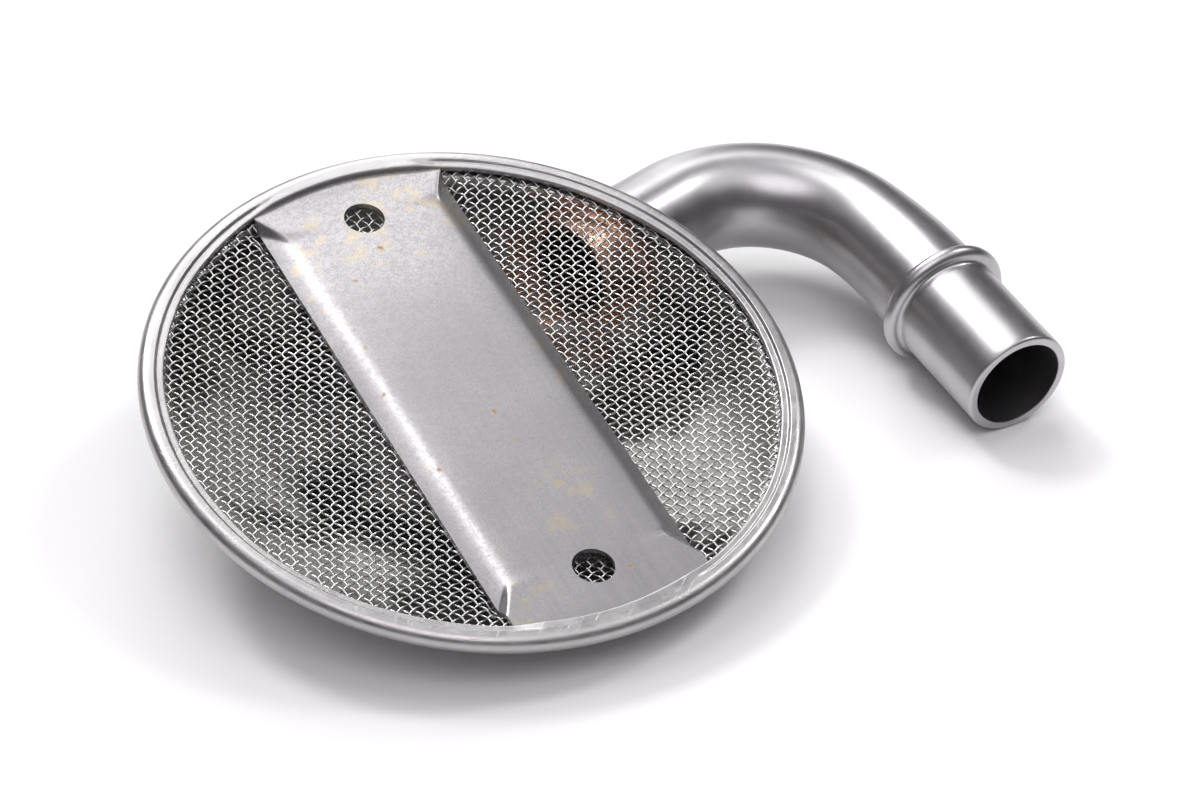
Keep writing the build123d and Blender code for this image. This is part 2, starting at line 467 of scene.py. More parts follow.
def cut_round_holes(piece, holes, sharp):
    """Cuts round holes, given as (centre, axis, radius, half length), and keeps the result."""
    cutters = [round_cutter(*hole) for hole in holes]
    for cutter in cutters:
        cut = piece.modifiers.new("hole", "BOOLEAN")
        cut.operation = "DIFFERENCE"
        cut.solver = "EXACT"
        cut.object = cutter
    whole = piece.evaluated_get(bpy.context.evaluated_depsgraph_get())
    data = bpy.data.meshes.new_from_object(whole)
    piece.modifiers.clear()
    piece.data = data
    for cutter in cutters:
        bpy.data.objects.remove(cutter)
    finish_mesh(piece, sharp)
    print(piece.name, "faces after its holes:", len(data.polygons))


def arc(centre, radius, start, end, count):
    """Points of a circular arc in a flat section, with angles in degrees."""
    turn = np.radians(np.linspace(start, end, count))
    return np.stack([centre[0] + radius * np.cos(turn), centre[1] + radius * np.sin(turn)], -1)


# %% [markdown]
# ## The pickup tube
#
# On the real part this is one length of steel tube. Its open end, the spigot, is sized to push
# into the pump, and a bead rolled round it stops it there. Behind the bead the tube bends
# gently, then sharply, and runs straight into the bell. A curve with a bevel would give
# one radius all the way, so the tube is built as rings instead: a list of places along the
# middle line, each with its own radius, first down the outside and then back up the bore.

# %% Middle line of the tube
spigot_length = 30.58
easing_radius, easing_turn = 72.9, radians(11.93)
elbow_radius, elbow_turn = 23.14, radians(94.44)
tube_end_length = 24.4
easing_length = easing_radius * easing_turn
elbow_length = elbow_radius * elbow_turn
tube_length = spigot_length + easing_length + elbow_length + tube_end_length

mouth = on_screen(*mouth_place) / MM
tube_forward = np.array([0.0, cos(tube_tilt), sin(tube_tilt)])
tube_side = np.array([-1.0, 0.0, 0.0])
tube_up = np.array([0.0, -sin(tube_tilt), cos(tube_tilt)])


def tube_line(s):
    """Centres and headings of the tube, at lengths from its mouth."""
    s = np.asarray(s, float)
    in_easing = np.clip(s - spigot_length, 0, easing_length)
    in_elbow = np.clip(s - spigot_length - easing_length, 0, elbow_length)
    in_end = np.maximum(s - spigot_length - easing_length - elbow_length, 0)
    first = in_easing / easing_radius
    second = easing_turn + in_elbow / elbow_radius
    heading = first + in_elbow / elbow_radius
    forward = (
        np.minimum(s, spigot_length)
        + easing_radius * np.sin(first)
        + elbow_radius * (np.sin(second) - sin(easing_turn))
        + in_end * np.cos(heading)
    )
    sideways = (
        easing_radius * (1 - np.cos(first))
        + elbow_radius * (cos(easing_turn) - np.cos(second))
        + in_end * np.sin(heading)
    )
    centre = mouth + forward[..., None] * tube_forward + sideways[..., None] * tube_side
    return centre, heading


def tube_points(s, r, turn):
    """Points on the tube in metres: rings at lengths s with radii r, at angles round the tube."""
    centre, heading = tube_line(s)
    square = -np.sin(heading)[:, None] * tube_forward + np.cos(heading)[:, None] * tube_side
    ring = (
        np.cos(turn)[None, :, None] * square[:, None, :]
        + np.sin(turn)[None, :, None] * tube_up[None, None, :]
    )
    return (centre[:, None, :] + np.asarray(r)[:, None, None] * ring) * MM


# %% Rings of the tube
bead_place = 23.18
bead_round = 1.50
bead_foot = 0.80
bead_centre = bead_crest - bead_round
bore_radius, bend_bore = 7.97, 7.62
bend_radius = 9.11
narrowing_start, bore_step_end = 27.0, 26.5
spigot_rings_from, bend_rings_from = 1.5, 26.4
mouth_break, end_break = 0.12, 0.25
foot_gap = sqrt((bead_round + bead_foot) ** 2 - (tube_radius + bead_foot - bead_centre) ** 2)
foot_centre = tube_radius + bead_foot
lean = degrees(atan2(foot_centre - bead_centre, foot_gap))

easing_end = spigot_length + easing_length
narrowing = bend_radius - tube_radius
profile = [(mouth_break, bore_radius), (0.0, bore_radius + mouth_break)]
profile += arc((mouth_round, tube_radius - mouth_round), mouth_round, 180, 90, 7).tolist()
spigot_rings = np.linspace(spigot_rings_from, bead_place - foot_gap - 0.4, 12)
profile += [(s, tube_radius) for s in spigot_rings]
profile += arc((bead_place - foot_gap, foot_centre), bead_foot, 270, 360 - lean, 6).tolist()
profile += arc((bead_place, bead_centre), bead_round, 180 - lean, lean, 18)[1:-1].tolist()
profile += arc((bead_place + foot_gap, foot_centre), bead_foot, 180 + lean, 270, 6).tolist()
for s in np.linspace(bend_rings_from, easing_end, 22):
    narrowed = float(smooth((s - narrowing_start) / (easing_end - narrowing_start)))
    profile.append((s, tube_radius + narrowing * narrowed))
profile += [(s, bend_radius) for s in np.linspace(easing_end, tube_length - end_break, 64)[1:]]
profile += [(tube_length, bend_radius - end_break), (tube_length, bend_bore + mouth_break)]
profile += [(s, bend_bore) for s in np.linspace(tube_length - mouth_break, spigot_length, 72)]
profile += [(s, bore_radius) for s in np.linspace(bore_step_end, 1.0, 8)]
profile = np.array(profile)

tube_columns = 128
tube_turn = np.arange(tube_columns) * 2 * pi / tube_columns
pickup_tube = new_piece(
    "pickup_tube_drawn",
    tube_points(profile[:, 0], profile[:, 1], tube_turn),
    grid_faces(len(profile), tube_columns, True, True),
    "pickup_tube",
)

# %% [markdown]
# ## The bell and its rolled rim
#
# The bell is one stamping. Its mouth is round, its flat bottom is a smaller circle set over
# towards the tube, and the wall runs smoothly from one to the other. Round the mouth the sheet
# turns out into a flange, rolls over and comes back on top, so that it grips the screen.
# Between the ends of the strap that lip has nothing but wire under it, and the press has
# squeezed it down by about half a sheet's thickness. Both skins are built as one closed grid
# of rows, from the middle of the bottom outwards, round the roll and back inside.

# %% Bell wall
bell_columns = 400
bell_turn = np.arange(bell_columns) * 2 * pi / bell_columns
flange_top = -2 * sheet - 2 * wire
flange_bottom = -rim_height
wall_top_radius = 50.2
middle_place, middle_depth, middle_radius = (3.6, -4.8), 13.0, 43.5
bottom_place, bottom_radius, bottom_bend = (10.0, -14.0), 28.0, 5.0
wall_drift = 0.45


def tilted_circle(centre, tilt, radius):
    """Points of a circle whose first direction climbs by a tilt along +Y."""
    first = np.array([0.0, cos(tilt), sin(tilt)])
    return centre + radius * (
        np.cos(bell_turn)[:, None] * first + np.sin(bell_turn)[:, None] * across
    )


def bell_circles(inset, drift):
    """The three circles that shape the wall, for the outside or the inside."""
    top = on_screen(0.0, 0.0, flange_top) / MM
    shift = (middle_place[0] + 0.6 * drift, middle_place[1] - 0.8 * drift)
    middle = on_screen(*shift, -middle_depth) / MM
    bottom = on_screen(*bottom_place, 0.0) / MM
    bottom = bottom - outward * bottom[2] / outward[2] + np.array([0.0, 0.0, inset])
    less = inset + abs(drift)
    return (
        tilted_circle(top, screen_tilt, wall_top_radius - less),
        tilted_circle(middle, screen_tilt / 2, middle_radius - less),
        tilted_circle(bottom, 0.0, bottom_radius - less),
    ), bottom


def wall_curve(circles, v, knee=0.44):
    """Points of the wall at a share v of the way down, on a smooth curve through the circles."""
    v = np.asarray(v, float)
    v = v[..., None] if v.ndim else v
    top, middle, bottom = circles
    return (
        top * (v - knee) * (v - 1) / knee
        + middle * v * (v - 1) / (knee * (knee - 1))
        + bottom * v * (v - knee) / (1 - knee)
    )


def bell_rows(inset, drift, wall_rows=34, floor_rows=16):
    """Rows of points from the top of the wall down, round the bottom's bend, to its middle."""
    circles, centre = bell_circles(inset, drift)
    bend = bottom_bend - inset
    last = wall_curve(circles, 1.0)
    step = 0.002
    fall = (last - wall_curve(circles, 1.0 - step)) / step
    speed = np.linalg.norm(fall, axis=1)
    inward = centre - last
    inward /= np.linalg.norm(inward, axis=1)[:, None]
    turn = np.arccos(np.clip(((fall / speed[:, None]) * inward).sum(1), -1, 1))
    reach = bend * np.tan(turn / 2)
    leave = 1 - reach / speed
    rows = [wall_curve(circles, leave * t) for t in np.linspace(0, 1, wall_rows)]
    start = rows[-1]
    start_way = start - wall_curve(circles, leave - step)
    start_way /= np.linalg.norm(start_way, axis=1)[:, None]
    end = last + inward * reach[:, None]
    handle = (4 / 3 * np.tan(turn / 4) * bend)[:, None]
    a, b = start + start_way * handle, end - inward * handle
    for t in np.linspace(0, 1, 10)[1:]:
        back = 1 - t
        rows.append(back**3 * start + 3 * back**2 * t * a + 3 * back * t * t * b + t**3 * end)
    for t in np.linspace(0, 1, floor_rows)[1:]:
        rows.append(end + (centre - end) * (t * 0.985))
    return rows


def bent_join(first, second, third, count=6):
    """Rows on a soft bend from the first row to the third, aiming at the second."""
    return [
        (1 - t) ** 2 * first + 2 * (1 - t) * t * second + t * t * third
        for t in np.linspace(0, 1, count)
    ]


# %% Rolled rim
tab_half_width, tab_edge = 12.5, 5.5
lip_inner, lip_middle = 49.5, 50.0
land_end, crest_start = 50.55, 51.15
lip_press = 0.5
pressed = smooth((np.abs(lip_middle * np.sin(bell_turn)) - tab_half_width) / tab_edge)
lip_wave = (
    0.10 * np.sin(3 * bell_turn + 1.0)
    + 0.06 * np.sin(7 * bell_turn)
    + 0.04 * np.sin(16 * bell_turn + 2.0)
)


def rim_row(r, n):
    """A row of points at radii r and heights n of the screen's directions, in mm."""
    r, n = np.broadcast_to(r, bell_turn.shape), np.broadcast_to(n, bell_turn.shape)
    return on_screen(r * np.cos(bell_turn), r * np.sin(bell_turn), n) / MM


def lip_height(r):
    """Height of the lip's top at a radius, pressed down between the strap's ends."""
    slope = 1 - smooth((r - land_end) / (crest_start - land_end))
    return -pressed * lip_press * slope


rim_rows = []
for r, n in arc((roll_place, -roll_radius), roll_radius, -90, 90, 22):
    rim_rows.append(rim_row(r, n))
under_lip_radii = (50.0, 50.6, 51.2, 51.6)
top_radii = [51.3, 51.2, *np.linspace(51.14, 50.50, 9), 50.35, 50.1, 49.9]
for r in top_radii:
    share = (top_radii[0] - r) / (top_radii[0] - top_radii[-1])
    rim_rows.append(rim_row(r + lip_wave * share, lip_height(r)))
edge_round = 0.32
edge_height = lip_height(lip_inner)
for back, down in arc((edge_round, -edge_round), edge_round, 90, 180, 6):
    rim_rows.append(rim_row(lip_inner + lip_wave + back, edge_height + down))
rim_rows.append(rim_row(lip_inner + lip_wave, edge_height - sheet))
for r in under_lip_radii:
    rim_rows.append(rim_row(r, lip_height(r) - sheet))
for r, n in arc((roll_place, -roll_radius), roll_radius - sheet, 90, -90, 12):
    rim_rows.append(rim_row(r, n))

outer_wall = bell_rows(0.0, 0.0)
inner_wall = bell_rows(sheet, wall_drift)
under_flange = rim_row(51.1, flange_bottom)
outer_corner = rim_row(wall_top_radius - 0.15, flange_bottom)
over_flange = rim_row(49.9, flange_top)
inner_corner = rim_row(49.0, flange_top)
outer_start, inner_start = 3, 2
bell_points = np.array(
    outer_wall[:outer_start - 1:-1]
    + bent_join(outer_wall[outer_start], outer_corner, under_flange)[1:]
    + rim_rows
    + bent_join(over_flange, inner_corner, inner_wall[inner_start])[:-1]
    + inner_wall[inner_start:]
)
bell_faces = [list(f) for f in grid_faces(len(bell_points), bell_columns, False, True)]
last_row = (len(bell_points) - 1) * bell_columns
bell_faces += [list(range(bell_columns)), list(range(last_row, last_row + bell_columns))]
bell = new_piece("bell_stamped", bell_points * MM, bell_faces, "bell_housing")

tube_end_centre, tube_end_heading = tube_line([tube_length])
tube_run = cos(tube_end_heading[0]) * tube_forward + sin(tube_end_heading[0]) * tube_side
braze_gap = 0.15
hole_back, hole_half_length = 10.0, 14.0
hole_centre = (tube_end_centre[0] - hole_back * tube_run) * MM
hole = (hole_centre, tube_run, (bend_radius + braze_gap) * MM, hole_half_length * MM)
cut_round_holes(bell, [hole], 35.0)
print("bell rows:", len(bell_points))

# %% [markdown]
# ## The strap
#
# A flat strip of sheet crosses the screen with both ends clamped under the lip. Its long edges
# are bent down at two creases so that it stands stiff, and near each end the bent edge turns
# back up flat in a leaf-shaped joggle, because a flange could not pass under the rim. That
# joggle is the detail that catches the light, so the strap is a fine grid whose height comes
# from one function of the place: how far past the crease, and how far before the joggle.

# %% Strap
clamped_radius = 51.8
strap_half_width = 17.15
strap_crease = 13.95
strap_fall = 1.75
crease_softness = 1.2
joggle_far, joggle_near = 39.3, 37.0
joggle_slant = 1.5
joggle_length = 2.5
strap_hole_place, strap_hole_radius = 40.34, 3.39
strap_hole_depth, strap_cut_half = -1.4, 4.0
bend_edge, joggle_share = 12.6, 0.66
bow_end, bow_fade = 46.5, 2.5


def strap_drop(u, w):
    """How far the strap's top lies below its flat middle."""
    past = np.abs(w) - strap_crease
    slope = (past + np.sqrt(past**2 + crease_softness**2)) / 2
    slope -= (np.sqrt(strap_crease**2 + crease_softness**2) - strap_crease) / 2
    full = strap_fall * np.clip(slope, 0, None) / (strap_half_width - strap_crease)
    start = np.where(u > 0, joggle_far, joggle_near) + joggle_slant * np.clip(past, 0, None)
    return full * smooth((start + joggle_length - np.abs(u)) / joggle_length)


def strap_bow(u, w):
    """A slight unevenness of the flat middle, as pressed sheet has."""
    return 0.05 * np.sin(u / 11.0 + 0.6) * np.cos(w / 9.0) - 0.03 * np.cos(u / 6.0)


def finer_ends(edge, middle, fine, coarse):
    """Places from -edge to edge, closer together outside the middle."""
    return np.concatenate([
        np.linspace(-edge, -middle, fine)[:-1],
        np.linspace(-middle, middle, coarse)[:-1],
        np.linspace(middle, edge, fine),
    ])


strap_across = finer_ends(strap_half_width, bend_edge, 22, 26)
strap_along = finer_ends(1.0, joggle_share, 60, 70)
grid_share, grid_w = np.meshgrid(strap_along, strap_across, indexing="ij")
grid_u = grid_share * np.sqrt((clamped_radius - 0.2) ** 2 - grid_w**2)
clamped = smooth((np.hypot(grid_u, grid_w) - bow_end) / bow_fade)
strap_top = -sheet - strap_drop(grid_u, grid_w) + strap_bow(grid_u, grid_w) * (1 - clamped)
top_points = on_screen(grid_u, grid_w, strap_top)
under_points = on_screen(grid_u, grid_w, strap_top - sheet)
rows, columns = grid_u.shape
ring = [(0, j) for j in range(columns)] + [(i, columns - 1) for i in range(1, rows)]
ring += [(rows - 1, j) for j in range(columns - 2, -1, -1)] + [(i, 0) for i in range(rows - 2, 0, -1)]
ring = [i * columns + j for i, j in ring]
strap_faces = grid_faces(rows, columns, False, False).tolist()
strap_faces += [f[::-1] for f in grid_faces(rows, columns, False, False, rows * columns).tolist()]
for here, there in zip(ring, ring[1:] + ring[:1]):
    strap_faces.append([here, here + rows * columns, there + rows * columns, there])
strap = new_piece(
    "strap_pressed", np.stack([top_points, under_points]), strap_faces,
    "cross_strap", sharp=50.0,
)
holes = []
for end in (-1, 1):
    middle = on_screen(end * strap_hole_place, 0.0, strap_hole_depth)
    holes.append((middle, outward, strap_hole_radius * MM, strap_cut_half * MM))
cut_round_holes(strap, holes, 50.0)
edge_break = strap.modifiers.new("broken_edges", "BEVEL")
edge_break.width = 0.14 * MM
edge_break.segments = 2
edge_break.limit_method = "ANGLE"
edge_break.angle_limit = radians(50)

# %% [markdown]
# ## The woven screen
#
# The screen is plain-woven steel wire, eighteen wires to the inch each way. A bump map of a
# weave looks flat from a low angle and lets no light through, so every wire is real: a
# six-sided tube that rises and falls over the wires it crosses. The two directions are
# two pieces. Each wire is drawn a little thinner than the gauge that sets its rise and fall,
# since the highlights of so many wires make them look wider. Both pieces follow one dished
# surface, which lies deep in the middle, climbs to the rim, and is held down wherever the strap
# presses on it.

# %% Wires
weave_pitch = 1.411
weave_turn = radians(-71.0)
screen_edge_radius = 51.2
mid_edge = -2 * sheet - wire
screen_drop = 1.75
flat_radius, edge_radius = 36.5, 47.0
climb_beside_strap = 0.9


def screen_height_at(u, w):
    """Height of the screen's middle surface."""
    share = (np.hypot(u, w) - flat_radius) / (edge_radius - flat_radius)
    base = mid_edge - screen_drop * (1 - smooth_ramp(share))
    beside = np.clip(np.abs(w) - strap_half_width, 0, None)
    inside_w = np.clip(w, -strap_half_width, strap_half_width)
    cap = mid_edge - strap_drop(u, inside_w) + climb_beside_strap * beside
    return np.minimum(base, cap)


def smooth_ramp(x):
    """A straight ramp from 0 to 1 with a small bend at each end."""
    soft = 0.06
    rise = (np.sqrt(x**2 + soft**2) - np.sqrt((x - 1) ** 2 + soft**2) + 1) / 2
    return np.clip(rise, 0, 1)


samples = 6
wire_sides = 6
drawn_wire = 0.34


def weave(name, turn, phase_sign):
    """All wires of one direction, as one piece."""
    ahead = np.array([cos(turn), sin(turn)])
    aside = np.array([-sin(turn), cos(turn)])
    count = int(screen_edge_radius / weave_pitch)
    points, faces, start = [], [], 0
    step = 2 * weave_pitch / samples
    for number in range(-count, count + 1):
        offset = number * weave_pitch
        half = sqrt(max(screen_edge_radius**2 - offset**2, 0.0))
        last = int(half / step)
        if last < 2:
            continue
        place = np.arange(-last, last + 1) * step
        wander = 0.035 * np.sin(place * 0.11 + number * 1.7)
        wander += 0.02 * np.sin(place * 0.53 + number * 4.1)
        u = place * ahead[0] + (offset + wander) * aside[0]
        w = place * ahead[1] + (offset + wander) * aside[1]
        crimp = phase_sign * (-1) ** number * wire / 2 * np.cos(pi * place / weave_pitch)
        centre = np.stack([u, w, screen_height_at(u, w) + crimp], -1)
        way = np.gradient(centre, axis=0)
        way /= np.linalg.norm(way, axis=1)[:, None]
        side = np.array([aside[0], aside[1], 0.0])
        up = np.cross(way, side)
        up /= np.linalg.norm(up, axis=1)[:, None]
        side = np.cross(up, way)
        turns = (np.arange(wire_sides) + 0.5) * 2 * pi / wire_sides
        ring = (
            centre[:, None, :]
            + drawn_wire / 2 * np.cos(turns)[None, :, None] * side[:, None, :]
            + drawn_wire / 2 * np.sin(turns)[None, :, None] * up[:, None, :]
        )
        points.append(on_screen(ring[..., 0], ring[..., 1], ring[..., 2]).reshape(-1, 3))
        faces += grid_faces(len(place), wire_sides, False, True, start).tolist()
        faces.append(list(range(start, start + wire_sides)))
        start += len(place) * wire_sides
        faces.append(list(range(start - 1, start - 1 - wire_sides, -1)))
    return new_piece(name, np.concatenate(points), faces, "wire_screen", sharp=180.0)


warp = weave("wires_one_way", weave_turn, 1)
weft = weave("wires_other_way", weave_turn + pi / 2, -1)

# %% [markdown]
# ## Copper braze
#
# The tube is held in the bell's side by copper that flowed into the joint in a furnace, and it
# left a small hollow fillet on both sides of the wall. The wall is curved and the tube meets it
# at a slant, so the fillet is measured: rays along the tube find the wall at several distances
# from the tube, and a concave curve joins the two. Its width wanders a little, as a flow does.

# %% Braze fillets
braze_angles = np.arange(120) * 2 * pi / 120
braze_steps = 9
braze_sink = 0.25
outer_leg, inner_leg = 1.5, 1.7
flange_gap = 0.1
ray_starts = {-1: 30.0, 1: 4.0}
joint_square = -sin(tube_end_heading[0]) * tube_forward + cos(tube_end_heading[0]) * tube_side


def wall_tree(rows):
    """A ray-cast tree of the bell's wall alone, from its rows of points."""
    faces = grid_faces(len(rows), bell_columns, False, True).tolist()
    return BVHTree.FromPolygons(np.array(rows).reshape(-1, 3).tolist(), faces)


def braze_ring(tree, side, leg, highest):
    """Points of one fillet. Side is -1 outside the bell and 1 inside it."""
    ring = []
    for turn in braze_angles:
        ray_out = cos(turn) * joint_square + sin(turn) * tube_up
        flow = 0.22 * sin(2 * turn + 0.7) + 0.13 * sin(5 * turn + side) + 0.07 * sin(11 * turn)
        width = leg * (1 + flow)
        found = []
        for k in range(braze_steps):
            foot = tube_end_centre[0] + (bend_radius + width * k / (braze_steps - 1)) * ray_out
            start = foot + side * ray_starts[side] * tube_run
            hit = tree.ray_cast(Vector(start), Vector(-side * tube_run))
            if hit[0] is None or screen_places(np.array(hit[0]) * MM)[2] > highest:
                break
            found.append((np.array(hit[0]) - foot) @ tube_run)
        while len(found) < 2:
            found.append(found[0] if found else last_found)
        last_found = found[0]
        share = np.linspace(0, 1, braze_steps)
        width *= (len(found) - 1) / (braze_steps - 1)
        depth = np.interp(share, np.linspace(0, 1, len(found)), found)
        rise = max(width, 0.15) * (1 - np.sqrt(1 - (1 - share) ** 2))
        out = bend_radius + width * share
        foot = tube_end_centre[0] + out[:, None] * ray_out
        top = foot + (depth + side * rise)[:, None] * tube_run
        below = foot + (depth - side * braze_sink)[:, None] * tube_run
        ring.append(np.concatenate([top, below[::-1]]))
    return np.array(ring)


outer_ring = braze_ring(wall_tree(outer_wall), -1, outer_leg, flange_bottom - flange_gap)
inner_ring = braze_ring(wall_tree(inner_wall), 1, inner_leg, flange_top - flange_gap)
ring_faces = grid_faces(len(braze_angles), 2 * braze_steps, True, True)
braze = new_piece(
    "braze_flow",
    np.stack([outer_ring, inner_ring]) * MM,
    np.concatenate([ring_faces, ring_faces + outer_ring.size // 3]).tolist(),
    "braze_fillet",
    sharp=60.0,
)

# %% [markdown]
# ## Steel and copper
#
# All the steel is bare, so each material is a metal whose colour is a fairly even grey, and
# the difference lies in the surface. The tube is drawn and smooth, with faint lines along it.
# The rim is rubbed bright round its lip. The bell's inside, seen through the wires, is painted
# dark as painted shade, with painted highlights in cloudy patches and round spots, and it is
# coppery near the tube's end. The strap is matte and finely grained, with straw specks and
# stains where rust has begun. The wires are plain and dull. A group gives each place in the
# screen's own directions, so that rubbing can run round the rim and along the strap.

# %% The screen's directions as a shader group
place_tree, place_in, place_out = new_group(
    "screen_places", {"Vector": None}, ("Along", "Across", "Out", "Radius")
)
away = vector_math("SUBTRACT", place_in["Vector"], (screen_centre * MM).tolist())
reach_along, reach_across, reach_out = [
    vector_math("DOT_PRODUCT", away, way.tolist()) for way in (along, across, outward)
]
squares = calculate(
    "ADD",
    calculate("MULTIPLY", reach_along, reach_along),
    calculate("MULTIPLY", reach_across, reach_across),
)
radius = calculate("SQRT", squares)
for socket, value in zip(place_out, (reach_along, reach_across, reach_out, radius)):
    place_tree.links.new(value, socket)
print("group outputs:", [socket.name for socket in place_out if socket.name])


# %% Tools for the materials
def new_metal(name):
    """A metal material. Returns (material, socket of object coordinates)."""
    metal = bpy.data.materials.new(name)
    metal.use_nodes = True
    tree = metal.node_tree
    tree.nodes["Principled BSDF"].inputs["Metallic"].default_value = 1.0
    return metal, add_node(tree, "ShaderNodeTexCoord").outputs["Object"]


def place_group(place, group, **values):
    """An effect group at a material's object coordinates. Returns its output sockets."""
    node = add_node(place.id_data, "ShaderNodeGroup")
    node.node_tree = bpy.data.node_groups[group]
    for key, value in {"Vector": place, **values}.items():
        link_or_set(place.id_data, node.inputs[key], value)
    return node.outputs


def mix_colour(share, first, second):
    """A colour mix by a share. Its colour sockets share their names, so they go by number."""
    tree = share.id_data
    node = add_node(tree, "ShaderNodeMix", share)
    node.data_type = "RGBA"
    for number, value in enumerate((first, second), 6):
        link_or_set(tree, node.inputs[number], (*value, 1) if isinstance(value, tuple) else value)
    return node.outputs[2]


def tinted(colour, mask, strength, tint):
    """A colour with a tint over it where a mask is, at a strength."""
    return mix_colour(calculate("MULTIPLY", mask, strength), colour, tint)


def dress(pieces, metal, colour, rough, height=None, depth=0.0, strength=0.0):
    """Puts a metal on pieces, with its colour, roughness and a bump. Depth is in metres."""
    tree = metal.node_tree
    shader = tree.nodes["Principled BSDF"]
    tree.links.new(colour, shader.inputs["Base Color"])
    tree.links.new(rough, shader.inputs["Roughness"])
    if height is not None:
        bump = add_node(tree, "ShaderNodeBump", Strength=strength, Distance=depth, Height=height)
        tree.links.new(bump.outputs["Normal"], shader.inputs["Normal"])
    for piece in pieces:
        piece.data.materials.append(metal)
    print(metal.name, "nodes:", len(tree.nodes))


# %% Tube steel
turns, lengths = np.meshgrid(tube_turn, profile[:, 0])
mark = pickup_tube.data.attributes.new("tube_place", "FLOAT_VECTOR", "POINT")
mark.data.foreach_set("vector", np.stack([np.cos(turns), np.sin(turns), lengths], -1).ravel())

tube_steel, place = new_metal("drawn_tube_steel")
tube_place = add_node(tube_steel.node_tree, "ShaderNodeAttribute")
tube_place.attribute_name = "tube_place"
fineness_round, fineness_along = 26.0, 0.03
lines_vector = vector_math(
    "MULTIPLY", tube_place.outputs["Vector"],
    (fineness_round, fineness_round, fineness_along),
)
drawn_lines = noise(lines_vector, 1.0, 3.0, 0.6)
grain = place_group(place, "metal_grain", Size=3200.0)
scratches = place_group(place, "handling_scratches", Length=70.0, Fineness=2300.0, Amount=0.5)
clouds = place_group(place, "dull_clouds", Size=55.0)
specks = place_group(place, "rust_specks", Spacing=85.0, Reach=0.10, Share=0.30)

copper_from, copper_full = -9.0, -3.0
tube_end_reach = float(tube_end_centre[0] @ tube_run)
run_reach = weighted_sum(
    vector_math("DOT_PRODUCT", place, tube_run.tolist()), (clouds["Fine Cloud"], 6 * MM)
)
into_bell = spread_range(
    run_reach, (tube_end_reach + copper_from) * MM, (tube_end_reach + copper_full) * MM
)
colour = mix_colour(clouds["Cloud"], (0.43, 0.42, 0.435), (0.52, 0.51, 0.52))
colour = tinted(colour, specks["Mask"], 0.7, (0.50, 0.27, 0.12))
colour = tinted(colour, into_bell, 0.75, (0.80, 0.46, 0.30))
rough = weighted_sum(0.29, (drawn_lines, 0.05), (clouds["Fine Cloud"], 0.03), (specks["Mask"], 0.3))
height = weighted_sum(0.0, (grain["Height"], 0.25), (drawn_lines, 0.5), (scratches["Mask"], -0.3))
dress([pickup_tube], tube_steel, colour, rough, height, depth=0.02 * MM, strength=0.3)

# %% Bell steel outside
bell_steel, place = new_metal("stamped_bell_steel")
where = place_group(place, "screen_places")
safe_radius = calculate("ADD", where["Radius"], 0.1 * MM)
round_rim = add_node(
    bell_steel.node_tree, "ShaderNodeCombineXYZ",
    calculate("DIVIDE", where["Along"], safe_radius),
    calculate("DIVIDE", where["Across"], safe_radius),
    weighted_sum(0.0, (where["Radius"], 1900.0), (where["Out"], 900.0)),
).outputs[0]
rubbing = noise(round_rim, 2.6, 4.0, 0.65)
grain = place_group(place, "metal_grain", Size=2600.0)
scratches = place_group(place, "handling_scratches", Length=80.0, Fineness=2200.0, Amount=0.75)
clouds = place_group(place, "dull_clouds", Size=42.0)
specks = place_group(place, "rust_specks", Spacing=110.0, Reach=0.10, Share=0.10)
colour = mix_colour(clouds["Cloud"], (0.44, 0.43, 0.435), (0.52, 0.51, 0.51))
colour = tinted(colour, specks["Mask"], 0.6, (0.46, 0.30, 0.15))

# %% Bell steel inside
# Where the sheet faces up out of the screen below the flange lies the bell's inside, which gets painted
# shade.
facing = vector_math(
    "DOT_PRODUCT",
    add_node(bell_steel.node_tree, "ShaderNodeNewGeometry").outputs["Normal"],
    outward.tolist(),
)
inside = calculate(
    "MULTIPLY",
    spread_range(facing, 0.0, 0.2),
    spread_range(where["Out"], -2.6 * MM, -3.4 * MM),
)
# Painted highlights on the bell's inside: a bright colour in cloudy patches and in round spots.
patches = place_group(place, "dull_clouds", Size=34.0)
painted_highlight_share = calculate("MULTIPLY", spread_range(patches["Cloud"], 0.25, 0.85), 0.8)
highlight_spot_depth = -9.0
highlight_spots = (
    (18.0, 26.0, 9.0), (-20.0, 27.5, 9.5), (16.0, 37.0, 7.0),
    (29.0, 28.0, 6.5), (0.0, 33.0, 7.0), (-24.7, -34.5, 8.0),
)
for u, w, reach in highlight_spots:
    away = vector_math("DISTANCE", place, on_screen(u, w, highlight_spot_depth).tolist())
    spot_highlight = spread_range(away, reach * MM * 1.35, reach * MM * 0.1)
    painted_highlight_share = calculate("MAXIMUM", painted_highlight_share, spot_highlight)
# Near black is painted shade and near white is painted highlight; the copper near the tube's end is
# real.
painted_inside_colour = mix_colour(painted_highlight_share, (0.07, 0.068, 0.066), (0.82, 0.81, 0.79))
near_copper = vector_math("DISTANCE", place, (tube_end_centre[0] * MM).tolist())
copper_run = weighted_sum(near_copper, (patches["Fine Cloud"], 6 * MM))
coppery = spread_range(copper_run, 21 * MM, 13 * MM)
painted_inside_colour = mix_colour(coppery, painted_inside_colour, (0.74, 0.40, 0.25))
# The inside takes the painted shade and highlights in place of the outside's steel colour.
colour = mix_colour(inside, colour, painted_inside_colour)
scattered = calculate("MULTIPLY", inside, painted_highlight_share)
rough = weighted_sum(0.26, (rubbing, 0.12), (clouds["Fine Cloud"], 0.08), (scattered, 0.25))
height = weighted_sum(0.0, (grain["Height"], 0.3), (rubbing, 0.7), (scratches["Mask"], -0.4))
dress([bell], bell_steel, colour, rough, height, depth=0.04 * MM, strength=0.6)

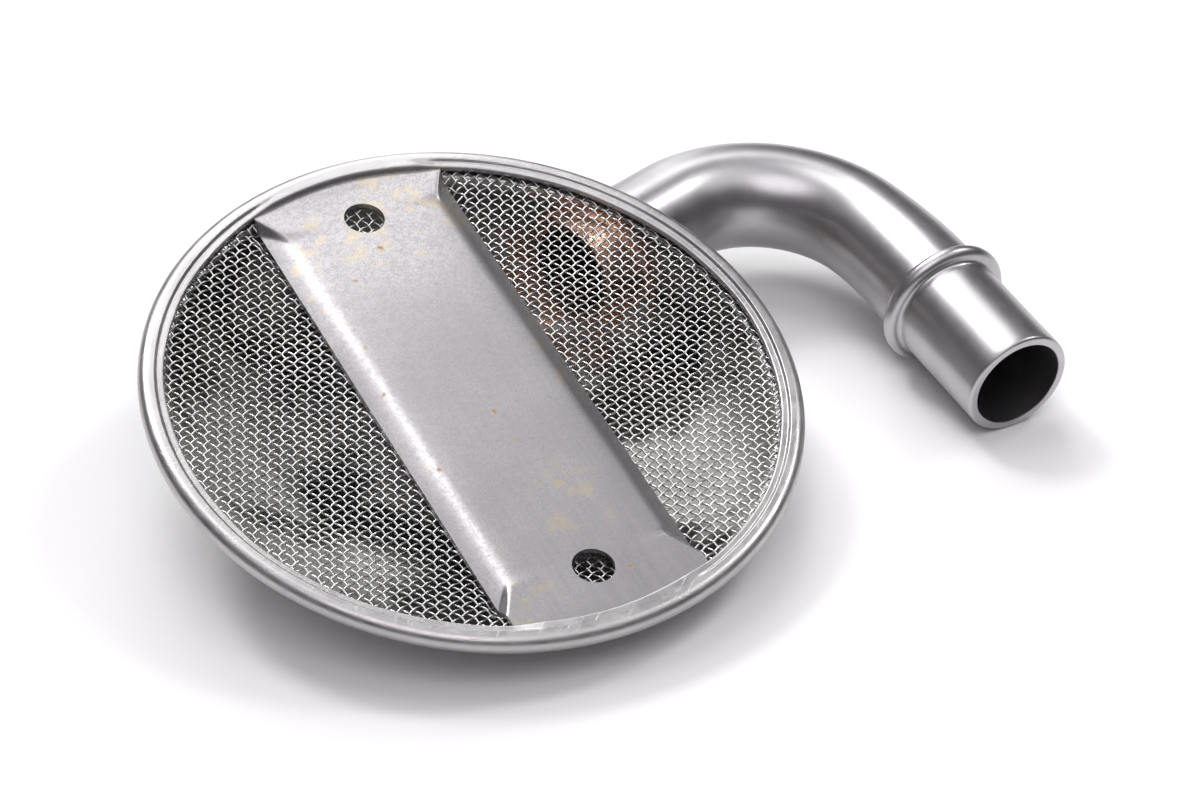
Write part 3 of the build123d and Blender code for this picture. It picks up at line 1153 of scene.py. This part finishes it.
# %% Strap steel
strap_steel, place = new_metal("matte_strap_steel")
where = place_group(place, "screen_places")
in_screen = add_node(
    strap_steel.node_tree, "ShaderNodeCombineXYZ", where["Along"], where["Across"], where["Out"]
)
rolled = vector_math("MULTIPLY", in_screen.outputs[0], (60.0, 1400.0, 200.0))
rolling = noise(rolled, 1.0, 3.0, 0.6)
grain = place_group(place, "metal_grain", Size=2900.0)
scratches = place_group(place, "handling_scratches", Length=60.0, Fineness=2400.0, Amount=0.30)
clouds = place_group(place, "dull_clouds", Size=38.0)
specks = place_group(place, "rust_specks", Spacing=220.0, Reach=0.17, Share=0.42)
colour = mix_colour(clouds["Cloud"], (0.45, 0.43, 0.445), (0.52, 0.50, 0.515))
colour = tinted(colour, grain["Tone"], 0.75, (0.30, 0.29, 0.30))
stain = calculate("MULTIPLY", clouds["Cloud"], clouds["Fine Cloud"])
stain = spread_range(stain, 0.38, 0.9, 0.0, 0.45)
colour = mix_colour(stain, colour, (0.60, 0.50, 0.32))
colour = mix_colour(specks["Mask"], colour, (0.30, 0.19, 0.07))
rough = weighted_sum(0.27, (rolling, 0.08), (grain["Tone"], 0.08), (specks["Mask"], 0.2))
height = weighted_sum(0.0, (rolling, 0.2), (grain["Height"], 0.9), (scratches["Mask"], -0.07))
dress([strap], strap_steel, colour, rough, height, depth=0.05 * MM, strength=0.5)

# %% Screen wire
wire_steel, place = new_metal("woven_wire_steel")
clouds = place_group(place, "dull_clouds", Size=70.0)
specks = place_group(place, "rust_specks", Spacing=120.0, Reach=0.2, Share=0.05)
colour = mix_colour(clouds["Cloud"], (0.62, 0.63, 0.62), (0.80, 0.80, 0.79))
colour = tinted(colour, specks["Mask"], 0.6, (0.42, 0.30, 0.16))
dress([warp, weft], wire_steel, colour, weighted_sum(0.24, (clouds["Fine Cloud"], 0.14)))

# %% Copper
copper, place = new_metal("furnace_copper")
clouds = place_group(place, "dull_clouds", Size=160.0)
grain = place_group(place, "metal_grain", Size=2200.0)
colour = mix_colour(clouds["Cloud"], (0.78, 0.42, 0.27), (0.66, 0.38, 0.26))
colour = tinted(colour, clouds["Fine Cloud"], 0.3, (0.42, 0.24, 0.16))
rough = weighted_sum(0.28, (clouds["Fine Cloud"], 0.2))
dress([braze], copper, colour, rough, grain["Height"], depth=0.04 * MM, strength=0.5)
print("materials:", [m.name for m in bpy.data.materials])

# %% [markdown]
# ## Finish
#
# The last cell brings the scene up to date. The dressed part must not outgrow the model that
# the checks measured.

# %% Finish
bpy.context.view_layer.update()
